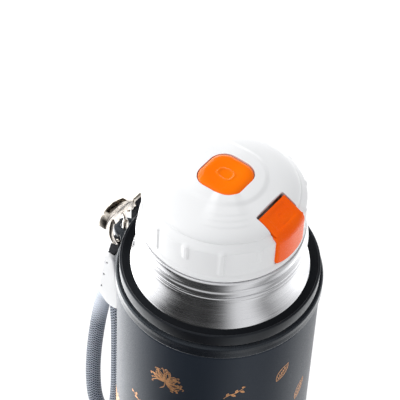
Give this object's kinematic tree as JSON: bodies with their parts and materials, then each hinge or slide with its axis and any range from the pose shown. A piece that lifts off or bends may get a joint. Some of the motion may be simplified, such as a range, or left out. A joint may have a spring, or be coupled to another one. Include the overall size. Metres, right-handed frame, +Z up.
{
  "type": "vacuum flask",
  "caption": "Double-walled steel vacuum flask: bare neck, black collar, white push-button stopper with a lock, and a woven carry strap on a snap hook and turning ring.",
  "frame": {"origin": "middle of the base, on the surface that the flask stands on", "axes": "+Z up along the flask's axis; -Y is the side of the lock button; the strap hangs at +Y"},
  "size_m": [0.087, 0.1077, 0.2638],
  "materials": {
    "body_paint": "matt powder coat, dark navy, with fine metallic line drawings of plants",
    "steel": "drawn and brushed stainless steel",
    "black_plastic": "matt black polypropylene with a smoother outer rim",
    "white_plastic": "satin white polypropylene",
    "orange_plastic": "glossy orange plastic",
    "seal": "translucent white silicone",
    "hook_metal": "polished dark nickel plating",
    "webbing": "black woven webbing",
    "cord": "tubular woven cord, blue-grey and white check"
  },
  "bodies": {
    "flask": {"outer_shell": "body_paint", "inner_vessel": "steel", "neck": "steel", "base_plate": "steel", "getter": "steel", "foot_cup": "black_plastic", "collar": "black_plastic", "collar_seal": "seal"},
    "stopper": {"stopper_cap": "white_plastic", "stopper_plug": "white_plastic", "plug_seal": "seal", "valve_guide": "white_plastic", "valve_spring": "steel", "lock_spring": "steel"},
    "open_press_body": {"open_button": "orange_plastic", "valve_stem": "white_plastic", "valve_disc": "seal"},
    "lock_press_body": {"lock_button": "orange_plastic", "lock_slider": "white_plastic"},
    "ring": {"strap_ring": "black_plastic"},
    "hook": {"hook_body": "hook_metal", "gate_pin": "hook_metal"},
    "gate": {"hook_gate": "hook_metal"},
    "swivel": {"hook_swivel": "hook_metal", "pull_tab": "webbing"},
    "strap": {"strap_tab": "webbing", "strap_clamp": "white_plastic", "clamp_rivet_1": "steel", "clamp_rivet_2": "steel", "clamp_rivet_3": "steel", "strap_loop": "cord"}
  },
  "joints": [
    {"name": "stopper_lift", "type": "slide", "parent": "flask", "child": "stopper", "axis": [0, 0, 1], "range_m": [0, 0.07]},
    {"name": "open_press", "type": "slide", "parent": "stopper", "child": "open_press_body", "axis": [0, 0, -1], "range_m": [0, 0.003], "stiffness_N_per_m": 400, "springref_m": -0.001, "deforming": ["valve_spring"]},
    {"name": "lock_press", "type": "slide", "parent": "stopper", "child": "lock_press_body", "axis": [0, 1, 0], "range_m": [0, 0.0012], "stiffness_N_per_m": 400, "springref_m": -0.0005},
    {"name": "ring_turn", "type": "hinge", "parent": "flask", "child": "ring", "pos_m": [0, 0, 0.2025], "axis": [0, 0, 1], "continuous": true},
    {"name": "hook_turn", "type": "hinge", "parent": "ring", "child": "hook", "pos_m": [-0.0052, 0.0462, 0.202], "axis": [0, 0, 1], "range_deg": [-5, 0]},
    {"name": "gate_open", "type": "hinge", "parent": "hook", "child": "gate", "pos_m": [-0.0096, 0.0462, 0.217], "axis": [0, 1, 0], "range_deg": [0, 20], "stiffness_Nm_per_rad": 0.02, "springref_deg": -5.73},
    {"name": "swivel_turn", "type": "hinge", "parent": "hook", "child": "swivel", "pos_m": [-0.0031, 0.0462, 0.2138], "axis": [1, 0, 0], "range_deg": [0, 120]},
    {"name": "strap_swing", "type": "hinge", "parent": "hook", "child": "strap", "pos_m": [-0.0092, 0.0462, 0.1977], "axis": [1, 0, 0], "range_deg": [0, 80]}
  ]
}
